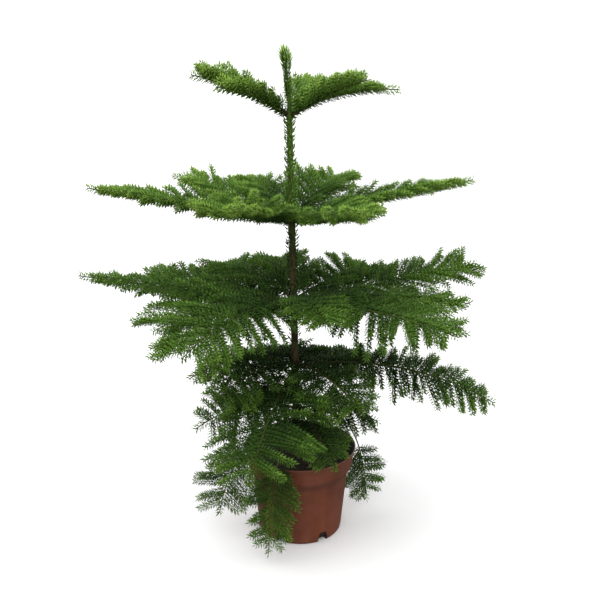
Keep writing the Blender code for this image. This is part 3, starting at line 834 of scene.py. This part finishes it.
def tube_mesh(name, lines, radii, tones):
    """Closed three-sided twigs along lines of equal length, as one piece."""
    stations = lines.shape[1]
    along = unit(np.gradient(lines, axis=1))
    side, up = across(along)
    spokes = round_about(side[:, :, None], up[:, :, None], math.tau * np.arange(3) / 3)
    corners = lines[:, :, None] + radii[:, :, None, None] * spokes
    faces = []
    for station in range(stations - 1):
        for corner in range(3):
            a, b = 3 * station + corner, 3 * station + (corner + 1) % 3
            faces += [(a, b, b + 3), (a, b + 3, a + 3)]
    last = 3 * (stations - 1)
    faces += [(2, 1, 0), (last, last + 1, last + 2)]
    tubes = corners.reshape(len(lines), 3 * stations, 3)
    return mesh_from(name, tubes, faces, shade_of(tones), needle_tones())


def branchlet_line(roots, direction, bend, size, q):
    """Points on branchlets at shares q of their lengths: straight out, then bent."""
    q, size = q[..., None], size[..., None]
    return roots + q * size * direction + q * q * size * bend


def branchlet_lines(roots, direction, bend, size, shares):
    """Points at the same shares of every branchlet."""
    lines = (kind[:, None] for kind in (roots, direction, bend, size))
    return branchlet_line(*lines, shares[None])


def branchlets(path, whorl, dice):
    """Two rows of branchlets along a plume, each cut short of whatever it would run into."""
    jitter = settings("pine_foliage").jitter
    plume = path.plume
    first = plume.bare if plume.bare >= BOUGH_FROM_BARE else TWIGS_FROM
    run = np.linalg.norm(path.point(path.end) - path.point(first))
    count = max(FEWEST_TWIGS, round(run / whorl.spacing))
    row = np.tile((-1.0, 1.0), count)
    scatter = dice.uniform(-TWIG_SCATTER, TWIG_SCATTER, 2 * count)
    s = (np.repeat(np.arange(count), 2) + 0.5 + 0.25 * row + scatter) / count
    s = np.clip(s, 0, 1)
    t = first + (path.end - first) * s
    forward, side, face = path.frame(t)
    angle = np.radians(whorl.angle - whorl.lost * s) + dice.normal(0, jitter, len(s))
    lift = math.radians(plume.lift) + dice.normal(0, LIFT_JITTER * jitter, len(s))
    out = (row * np.cos(lift))[:, None] * side + np.sin(lift)[:, None] * face
    direction = np.cos(angle)[:, None] * forward + np.sin(angle)[:, None] * out
    size = plume.spread * width_share(s, plume.end) * dice.uniform(*TWIG_LENGTHS, len(s))
    size = size - NEEDLE_OVERHANG
    sag = whorl.sag * dice.uniform(*TWIG_SAGS, len(s))
    bend = whorl.sweep * forward - sag[:, None] * UP
    roots = path.point(t)
    # Shares of the length that stay free, tried from the root outwards
    steps = np.linspace(0.15, 1, 12)
    blocked = hits(branchlet_lines(roots, direction, bend, size, steps), TWIG_CLEARANCE)
    stop = blocked.argmax(1)
    free = np.where(blocked.any(1), steps[np.maximum(stop - 1, 0)] * (stop > 0), 1.0)
    size = size * free
    keep = size > SHORTEST_TWIG
    # Painted shade and light: darker near the trunk and lighter towards the plume's end, partly
    # for the needles' age and partly for where shade and light fall in the plume.
    tone = whorl.tone + whorl.gain * s + dice.normal(0, TWIG_TONES, len(s))
    return [a[keep] for a in (roots, direction, bend, forward, size, tone)]


def branchlet_needles(rows, whorl, dice):
    """Needles round every branchlet of a plume, shorter and closer towards its end."""
    foliage = settings("pine_foliage")
    roots, direction, bend, ahead, size, tone = rows
    gap = foliage.needle_gap * (1.0 if whorl.parted else SPIRAL_GAP)
    counts = np.maximum(6, (size / gap).astype(int))
    which = np.repeat(np.arange(len(size)), counts)
    order = np.arange(counts.sum()) - np.repeat(np.cumsum(counts) - counts, counts)
    q = 0.05 + 0.95 * (order + 0.5) / counts[which]
    points = branchlet_line(roots[which], direction[which], bend[which], size[which], q)
    along = unit(direction[which] + 2 * q[:, None] * bend[which])
    radius = foliage.twig_radius * (1 - 0.5 * q)
    left = (1 - q) * size[which]
    long = whorl.needle * (0.80 + 0.20 * np.minimum(1, left / 0.010))
    close_up = END_CLOSING * np.maximum(0, 1 - left / 0.005)
    spray = np.digitize(q, SPRAYS)
    jitter = dice.normal(0, SPRAY_TONES, (len(size), len(SPRAY_LIGHT)))
    tones = tone[which] + whorl.tip * SPRAY_LIGHT[spray] + jitter[which, spray]
    plane = ahead[which] if whorl.parted else None
    return dressed(points, along, radius, long, tones, close_up, dice, plane)


def stem_needles(path, whorl, start, dice):
    """Needles on a plume's own stem, from start to its tip."""
    foliage = settings("pine_foliage")
    last = path.along(1, -NEEDLE_OVERHANG)
    run = np.linalg.norm(path.point(last) - path.point(start))
    count = int(run / (STEM_NEEDLES * foliage.needle_gap))
    t = np.linspace(start, last, count)
    left = (1 - t) * run
    size = STEM_NEEDLES * whorl.needle * (0.72 + 0.28 * np.minimum(1, left / 0.02))
    close_up = END_CLOSING * np.maximum(0, 1 - left / 0.006)
    steps = dice.normal(0, 0.03, 24)
    # Painted shade: the stem's needles are darker near the trunk and lighter outwards, partly for
    # age and partly for the shade inside the plume.
    tones = whorl.tone - 0.04 + (whorl.gain + whorl.tip) * t ** 2 + steps[(t * 23).astype(int)]
    radius = np.full(count, foliage.twig_radius)
    return dressed(path.point(t), unit(path.slope(t)), radius, size, tones, close_up, dice)


def plume_paths(whorl):
    """The path of each plume of a whorl."""
    for number, plume in enumerate(whorl.plumes):
        yield PlumePath(plume, whorl.height, stagger(number, len(whorl.plumes)))


def piece_of(whorl, plume):
    """The piece that a plume's needles are dealt into."""
    if whorl.name not in SPLIT_WHORLS:
        return whorl.name
    behind = BACK_HALF[0] < plume.azimuth <= BACK_HALF[1]
    return whorl.name + ("_back" if behind else "_front")


# ---------------------------------------------------------------- operators

class PINE_OT_pot(bpy.types.Operator):
    """Turn the pot: tapering wall, lip, rounded foot, and drain holes round the foot"""

    bl_idname = "pine.pot"
    bl_label = "Pot"
    bl_options = {"REGISTER", "UNDO"}

    def execute(self, context):
        pot = settings("pine_pot")
        foot, wall, lip = pot.foot_radius, pot.wall_top_radius, pot.lip_radius
        band, rim, top, thick = pot.band_radius, pot.rim_radius, pot.rim_height, pot.wall
        rings = [
            (foot - 0.0040, 0.0),
            (foot - 0.0016, 0.0006),
            (foot - 0.0002, 0.0024),
            (foot + 0.0004, 0.0050),
            (wall - 0.0025, 0.0720),
            (wall - 0.0003, pot.lip_foot - 0.0024),
            (wall + 0.0001, pot.lip_foot - 0.0006),
            (wall + 0.0008, pot.lip_foot + 0.0008),
            (lip - 0.0010, pot.lip_height - 0.0016),
            (lip - 0.0002, pot.lip_height),
            (lip + 0.0001, pot.lip_height + 0.0018),
            (band - 0.0001, pot.band_top - 0.0018),
            (band + 0.0002, pot.band_top),
            (band + 0.0007, pot.band_top + 0.0014),
            (rim - 0.0004, top - 0.0022),
            (rim, top - 0.0009),
            (rim - 0.0004, top - 0.0002),
            (rim - 0.0009, top),
            (rim - 0.0014, top - 0.0002),
            (rim - thick, top - 0.0010),
            (band - thick, pot.band_top + 0.0010),
            (lip - thick, pot.lip_height + 0.0010),
            (wall - thick, pot.lip_foot + 0.0010),
            (foot - thick + 0.0008, 0.0080),
            (foot - thick - 0.0008, pot.floor + 0.0014),
            (foot - thick - 0.0030, pot.floor),
        ]
        shell = ringed("pot_shell", rings, 128)
        for hole in range(pot.drains):
            angle = pot.first_drain + math.tau * hole / pot.drains
            reach = foot - 0.004
            deselect()
            bpy.ops.mesh.primitive_cylinder_add(
                vertices=24,
                radius=pot.drain_radius,
                depth=0.030,
                location=(reach * math.cos(angle), reach * math.sin(angle), 0.5 * pot.floor),
                rotation=(0, pot.drain_slant, angle),
            )
            cutter = bpy.context.object
            modified(shell, "BOOLEAN", operation="DIFFERENCE", object=cutter, solver="EXACT")
            bpy.data.objects.remove(cutter, do_unlink=True)
        shell.data.materials.append(pot_outside())
        shell.data.materials.append(pot_inside())
        for face in shell.data.polygons:
            inward = face.normal.xy.dot(face.center.xy) < -1e-4 or face.normal.z > 0.7
            deep = face.center.xy.length < pot_outer(face.center.z) - 0.6 * thick
            face.material_index = int(inward and deep and face.center.z < top - 0.0004)
        finished(shell, ["pot"], 40)
        return {"FINISHED"}


# Loose lumps on the compost: the share that are bark chips, the least and greatest half length,
# width and height of a chip and of a crumb, and a lump's eight faces
CHIPS = 0.25
LUMP_SIZES = (
    ((0.0020, 0.0042), (0.0007, 0.0017)),
    ((0.0009, 0.0018), (0.0007, 0.0014)),
    ((0.0004, 0.0008), (0.0005, 0.0012)),
)
LUMP_FACES = (
    (0, 2, 4), (2, 1, 4), (1, 3, 4), (3, 0, 4), (2, 0, 5), (1, 2, 5), (3, 1, 5), (0, 3, 5),
)


class PINE_OT_compost(bpy.types.Operator):
    """Heap the compost, with its relief and loose crumbs and bark chips"""

    bl_idname = "pine.compost"
    bl_label = "Compost"
    bl_options = {"REGISTER", "UNDO"}

    def execute(self, context):
        compost = settings("pine_compost")
        pot = settings("pine_pot")
        inset = pot.wall + 0.0005
        edge = pot_outer(compost.level - compost.dip) - inset
        radii = np.linspace(edge, 0.004, 18)
        tops = compost.level - compost.dip * (radii / edge) ** 2 - 0.0004
        rings = [
            (pot.foot_radius - 0.006, 0.0034),
            (pot_outer(0.010) - inset, 0.010),
            (pot.wall_top_radius - inset, pot.lip_foot),
            (pot.lip_radius - inset, pot.lip_height),
            (edge, tops[0] - 0.003),
            *zip(radii, tops),
        ]
        heap = ringed("compost_surface", rings, 64)
        modified(heap, "SUBSURF", subdivision_type="SIMPLE", levels=2, render_levels=2)
        low = compost.level - 1.6 * compost.dip
        top = [
            corner.index for corner in heap.data.vertices
            if corner.co.z > low and corner.co.xy.length < edge - 0.0015
        ]
        heap.vertex_groups.new(name="top").add(top, 1, "REPLACE")
        for name, size, height in (("clods", 0.011, 1.0), ("crumbs", 0.0035, 0.5)):
            displaced(
                heap, relief("compost " + name, "CLOUDS", size), height * compost.lumps,
                mid_level=0.62, direction="Z", vertex_group="top",
            )
        heap.data.materials.append(compost_finish("compost", compost.dark, compost.light))
        finished(heap, ["compost"])
        self.scatter(compost, edge)
        return {"FINISHED"}

    def scatter(self, compost, edge):
        """Loose crumbs and chips of bark, each a squashed six-cornered lump."""
        dice = np.random.default_rng(5)
        count = compost.crumbs
        away = (edge - 0.004) * np.sqrt(dice.uniform(0.012, 1, count))
        angle = dice.uniform(0, math.tau, count)
        z = compost.level - compost.dip * (away / edge) ** 2 - 0.0002
        middle = np.stack((away * np.cos(angle), away * np.sin(angle), z), axis=1)
        chips = dice.random(count) < CHIPS
        size = [
            np.where(chips, dice.uniform(*chip, count), dice.uniform(*crumb, count))
            for chip, crumb in LUMP_SIZES
        ]
        spin = dice.uniform(0, math.tau, count)
        tilt = dice.normal(0, 0.35, count)
        first = unit(np.stack((np.cos(spin), np.sin(spin), np.sin(tilt)), axis=1))
        second = unit(np.cross(UP, first))
        ends = []
        for half, direction in zip(size, (first, second, np.cross(first, second))):
            for way in (1, -1):
                reach = way * half * dice.uniform(0.8, 1.2, count)
                ends.append(middle + reach[:, None] * direction)
        shades = chips.astype(int) + (dice.random(count) < 0.3)
        browns = (
            compost_finish("crumb", (0.016, 0.010, 0.007), (0.05, 0.03, 0.018)),
            compost_finish("bark chip", (0.040, 0.022, 0.012), (0.095, 0.055, 0.030)),
            compost_finish("dry chip", (0.075, 0.046, 0.026), (0.16, 0.10, 0.060)),
        )
        crumbs = mesh_from("compost_crumbs", np.stack(ends, axis=1), LUMP_FACES, shades, browns)
        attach(crumbs, "root")


class PINE_OT_trunk(bpy.types.Operator):
    """Draw up the trunk with its lean, root flare, knots and bark relief"""

    bl_idname = "pine.trunk"
    bl_label = "Trunk"
    bl_options = {"REGISTER", "UNDO"}

    def execute(self, context):
        trunk = settings("pine_trunk")
        foot = settings("pine_compost").level - 0.0012
        heights = np.concatenate((
            foot + 0.032 * np.linspace(0, 1, 9) ** 1.5,
            np.linspace(foot + 0.036, trunk.top, 96),
        ))
        stem = ringed("trunk_bark", list(zip(trunk_radius(heights), heights)), 16, trunk_x)
        modified(stem, "SUBSURF", levels=2, render_levels=2)
        displaced(stem, relief("bark ridges", "CLOUDS", 0.0050), trunk.relief)
        displaced(stem, relief("leaf bases", "VORONOI", 0.0034), -0.8 * trunk.relief)
        stem.data.materials.append(trunk_bark())
        finished(stem, ["trunk"])
        return {"FINISHED"}


# Stems: their radius at the tip, and at the trunk for plumes that reach far and for the rest;
# the collar at the trunk and the run over which it fades
STEM_TIP = 0.0007
LONG_PLUME = 0.15
THICK_STEM = 0.0023
THIN_STEM = 0.0018
COLLAR = 0.0009
COLLAR_RUN = 0.006


class PINE_OT_boughs(bpy.types.Operator):
    """Draw each whorl's boughs and the stems of its plumes out of the trunk"""

    bl_idname = "pine.boughs"
    bl_label = "Boughs"
    bl_options = {"REGISTER", "UNDO"}

    def execute(self, context):
        trunk = settings("pine_trunk")
        ridges = relief("bough ridges", "CLOUDS", 0.0026)
        for whorl in WHORLS:
            deselect()
            bpy.ops.curve.primitive_nurbs_path_add()
            line = named(context.object, whorl.name + "_boughs")
            line.location = (0, 0, 0)
            curve = line.data
            curve.splines.clear()
            curve.bevel_depth = 1
            curve.bevel_resolution = 2
            curve.use_fill_caps = True
            nodes = []
            for path in plume_paths(whorl):
                reach = path.plume.reach
                bough = f"{whorl.name}_bough_{path.plume.side}"
                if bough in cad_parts:
                    nodes.append(bough)
                root = 0.5 * trunk_radius(whorl.height) / reach
                t = np.linspace(root, path.along(1, -NEEDLE_OVERHANG), 30)
                thick = THICK_STEM if reach > LONG_PLUME else THIN_STEM
                radii = STEM_TIP + (thick - STEM_TIP) * (1 - t) ** 0.8
                radii = radii + COLLAR * np.exp(-t * reach / COLLAR_RUN)
                spline = curve.splines.new("POLY")
                spline.points.add(len(t) - 1)
                for knot, point, radius in zip(spline.points, path.point(t), radii):
                    knot.co = (*point, 1)
                    knot.radius = radius
            only(line)
            bpy.ops.object.convert(target="MESH")
            boughs = named(context.object, whorl.name + "_boughs")
            modified(boughs, "WELD", merge_threshold=0.00002)
            outward(boughs)
            modified(boughs, "SUBSURF", levels=1, render_levels=1)
            displaced(boughs, ridges, 0.6 * trunk.relief)
            boughs.data.materials.clear()
            green = 0.9 if whorl.name in ("top", "upper") else 0.6
            boughs.data.materials.append(bough_bark(whorl.name + " bough bark", 0.12, green))
            finished(boughs, nodes)
        return {"FINISHED"}


class PINE_OT_foliage(bpy.types.Operator):
    """Grow the branchlets and needles of every plume"""

    bl_idname = "pine.foliage"
    bl_label = "Foliage"
    bl_options = {"REGISTER", "UNDO"}

    def execute(self, context):
        foliage = settings("pine_foliage")
        needles, lines = {}, {}
        grown = ((whorl, path) for whorl in WHORLS for path in plume_paths(whorl))
        for order, (whorl, path) in enumerate(grown):
            dice = np.random.default_rng((foliage.seed, order))
            rows = branchlets(path, whorl, dice)
            bare = path.plume.bare
            start = bare if bare >= BOUGH_FROM_BARE else path.along(0, 0.006)
            piece = piece_of(whorl, path.plume)
            runs = needles.setdefault(piece, {"whorl": whorl, "parts": [], "nodes": []})
            runs["parts"].append(branchlet_needles(rows, whorl, dice))
            runs["parts"].append(stem_needles(path, whorl, start, dice))
            runs["nodes"].append(f"{whorl.name}_foliage_{path.plume.side}")
            roots, direction, bend, _, size, tone = rows
            q = np.linspace(0, 1, TWIG_STATIONS)
            line = branchlet_lines(roots, direction, bend, size, q)
            radii = np.tile(foliage.twig_radius * (1 - 0.55 * q), (len(size), 1))
            lines.setdefault(whorl.name, []).append((line, radii, np.clip(tone + 0.05, 0, 1)))
        for piece, run in needles.items():
            thing = needle_mesh(piece + "_needles", run["parts"])
            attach(thing, "root")
            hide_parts(*run["nodes"])
        for name, parts in lines.items():
            line, radii, tone = (np.concatenate(kind) for kind in zip(*parts))
            thing = tube_mesh(name + "_twigs", line, radii, tone)
            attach(thing, "root")
        return {"FINISHED"}


# Runs of needles on the trunk: from and to height, needles for each metre, length, tone and
# how far they stand out
TRUNK_RUNS = (
    (0.500, 0.632, 1300, 0.0118, 0.58, 1.00),
    (0.500, 0.634, 2600, 0.0060, 0.58, 0.45),
    (0.380, 0.484, 1200, 0.0118, 0.24, 1.00),
    (0.380, 0.486, 1800, 0.0060, 0.22, 0.45),
    (0.285, 0.362, 700, 0.0105, 0.14, 1.05),
    (0.210, 0.262, 260, 0.0090, 0.12, 1.05),
)


class PINE_OT_trunk_needles(bpy.types.Operator):
    """Set the long needles that stand out of the trunk between the whorls"""

    bl_idname = "pine.trunk_needles"
    bl_label = "Trunk needles"
    bl_options = {"REGISTER", "UNDO"}

    def execute(self, context):
        lean = settings("pine_trunk").lean
        dice = np.random.default_rng(23)
        runs = []
        for low, high, density, size, tone, spread in TRUNK_RUNS:
            count = int((high - low) * density)
            z = np.linspace(low, high, count) + dice.normal(0, 0.0006, count)
            tones = tone + dice.normal(0, 0.05, count)
            rooted = trunk_radius(z) - 0.0006
            angles = (spread, 0.55 * spread)
            made = shoot_needles(trunk_x, lean, z, rooted, size, angles, TRUNK_UNEVEN, dice)
            runs.append((made, tones))
        thing = needle_mesh("trunk_needles", runs)
        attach(thing, "root")
        return {"FINISHED"}


# The leading shoot: scales on its stem, the needles of the bud that spread over this run, and
# how far the bud's last needles reach past the stem
SCALE_COUNT = 95
BUD_COUNT = 110
BUD_RUN = 0.032
BUD_TIP = 0.0155


class PINE_OT_leader(bpy.types.Operator):
    """Raise the leading shoot: a slim stem, close needles and the opening bud"""

    bl_idname = "pine.leader"
    bl_label = "Leading shoot"
    bl_options = {"REGISTER", "UNDO"}

    def execute(self, context):
        trunk = settings("pine_trunk")
        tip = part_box("leader")[1].z
        foot = trunk.top - 0.001
        crown = tip - BUD_TIP
        heights = np.linspace(foot, crown, 14)
        middle = foot + 0.5 * (crown - foot)
        radii = np.interp(heights, (foot, middle, crown), (0.0020, 0.0014, 0.0019))
        rings = [*zip(radii, heights), (0.0012, crown + 0.0016)]
        stem = ringed("leader_stem", rings, 10, lambda z: self.line(min(z, crown)))
        modified(stem, "SUBSURF", levels=1, render_levels=1)
        displaced(stem, relief("leader ridges", "CLOUDS", 0.002), 0.0004)
        stem.data.materials.append(trunk_bark())
        finished(stem, ["leader"])
        dice = np.random.default_rng(31)
        scales = np.linspace(foot - 0.004, crown - BUD_RUN, SCALE_COUNT)
        z = np.concatenate((scales, np.linspace(crown - BUD_RUN, crown, BUD_COUNT)))
        # How far up the bud each needle is, and what changes on the way
        rise = np.concatenate((np.zeros(SCALE_COUNT), np.linspace(0, 1, BUD_COUNT)))
        opening = np.interp(rise, (0, 0.3, 0.7, 1), (0.85, 0.76, 0.74, 0.26))
        size = np.interp(rise, (0, 0.3, 0.6, 1), (0.0076, 0.0118, 0.0180, 0.0190))
        tones = np.interp(rise, (0, 0.3, 0.7, 1), (0.48, 0.56, 0.72, 1.0))
        rooted = 0.0014 * (1 - 0.8 * rise ** 3)
        lean = trunk.lean + LEADER_LEAN
        angles = (opening, 0.80 * opening)
        made = shoot_needles(self.line, lean, z, rooted, size, angles, BUD_UNEVEN, dice)
        made[..., 2] = np.minimum(made[..., 2], tip)
        tones = tones + dice.normal(0, 0.05, len(z))
        thing = needle_mesh("leader_needles", [(made, tones)])
        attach(thing, "root")
        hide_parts("leader")
        return {"FINISHED"}

    def line(self, z):
        """The shoot's place along X at a height: it leans more than the trunk."""
        return trunk_x(z) - LEADER_LEAN * np.maximum(0, z - settings("pine_trunk").top)


# The light: which way the sun's rays go, how wide it looks, and the heights of view between
# which the weak light from below turns into the soft light from above
SUN_RAYS = (0.42, 0.62, -1.0)
SUN_WIDTH = math.radians(75)
HORIZON = (-0.16, -0.02)
FLOOR_SIZE = 160


class PINE_OT_stage(bpy.types.Operator):
    """Set the floor, the soft light and the camera"""

    bl_idname = "pine.stage"
    bl_label = "Stage"
    bl_options = {"REGISTER", "UNDO"}

    def execute(self, context):
        stage = settings("pine_stage")
        deselect()
        bpy.ops.mesh.primitive_plane_add(size=FLOOR_SIZE, location=(0, 0, 0))
        floor = named(context.object, "floor")
        paper = Finish("floor")
        pale = tuple(0.985 * part for part in stage.floor)
        tone = paper.mix(paper.noise(3, 2), pale, tuple(stage.floor))
        floor.data.materials.append(paper.set(Base_Color=tone, Roughness=0.9))
        floor.visible_diffuse = False
        floor.visible_glossy = False
        self.light_room(context, stage)
        bpy.ops.object.light_add(type="SUN", location=(-1.2, -1.6, 2.6))
        key = context.object
        key.name = "key_light"
        key.rotation_euler = Vector(SUN_RAYS).to_track_quat("-Z", "Y").to_euler()
        key.data.energy = stage.key
        key.data.angle = SUN_WIDTH
        bpy.ops.object.camera_add(
            location=(0, -stage.distance, stage.height),
            rotation=(math.pi / 2 - stage.tilt, 0, 0),
        )
        camera = context.object
        camera.data.lens = stage.lens
        camera.data.sensor_width = 36
        camera.data.clip_start = 0.05
        camera.data.clip_end = 300
        context.scene.camera = camera
        context.scene.view_settings.view_transform = "Standard"
        return {"FINISHED"}

    def light_room(self, context, stage):
        """Soft white light all round, weak from below."""
        world = bpy.data.worlds.new("soft room")
        context.scene.world = world
        world.use_nodes = True
        world.node_tree.nodes.clear()
        room = Nodes(world.node_tree)
        place = room.node("TexCoord", {}, {}, "Generated")
        strength = room.node("MapRange", {}, {
            "Value": room.node("SeparateXYZ", {}, [place], "Z"),
            "From Min": HORIZON[0],
            "From Max": HORIZON[1],
            "To Min": stage.bounce,
            "To Max": stage.sky,
        })
        light = room.node("Background", {}, {"Strength": strength})
        out = world.node_tree.nodes.new("ShaderNodeOutputWorld")
        room.feed(out.inputs["Surface"], light)


OPERATORS = (
    PINE_OT_pot,
    PINE_OT_compost,
    PINE_OT_trunk,
    PINE_OT_boughs,
    PINE_OT_foliage,
    PINE_OT_trunk_needles,
    PINE_OT_leader,
    PINE_OT_stage,
)


class PINE_PT_panel(bpy.types.Panel):
    """The pine's pieces and their settings"""

    bl_idname = "PINE_PT_panel"
    bl_label = "Pine in a pot"
    bl_space_type = "VIEW_3D"
    bl_region_type = "UI"
    bl_category = "Pine"

    def draw(self, context):
        layout = self.layout
        for operator in OPERATORS:
            layout.operator(operator.bl_idname)
        for name, group in SETTINGS.items():
            box = layout.box()
            box.label(text=group.__name__)
            for key in group.__annotations__:
                box.prop(getattr(context.scene, name), key)


CLASSES = (*SETTINGS.values(), *OPERATORS, PINE_PT_panel)


def register():
    for made in CLASSES:
        bpy.utils.register_class(made)
    for name, group in SETTINGS.items():
        setattr(bpy.types.Scene, name, bpy.props.PointerProperty(type=group))


def unregister():
    for name in SETTINGS:
        delattr(bpy.types.Scene, name)
    for made in reversed(CLASSES):
        bpy.utils.unregister_class(made)


def main():
    register()
    for operator in OPERATORS:
        group, name = operator.bl_idname.split(".")
        getattr(getattr(bpy.ops, group), name)()


if __name__ == "__main__":
    main()
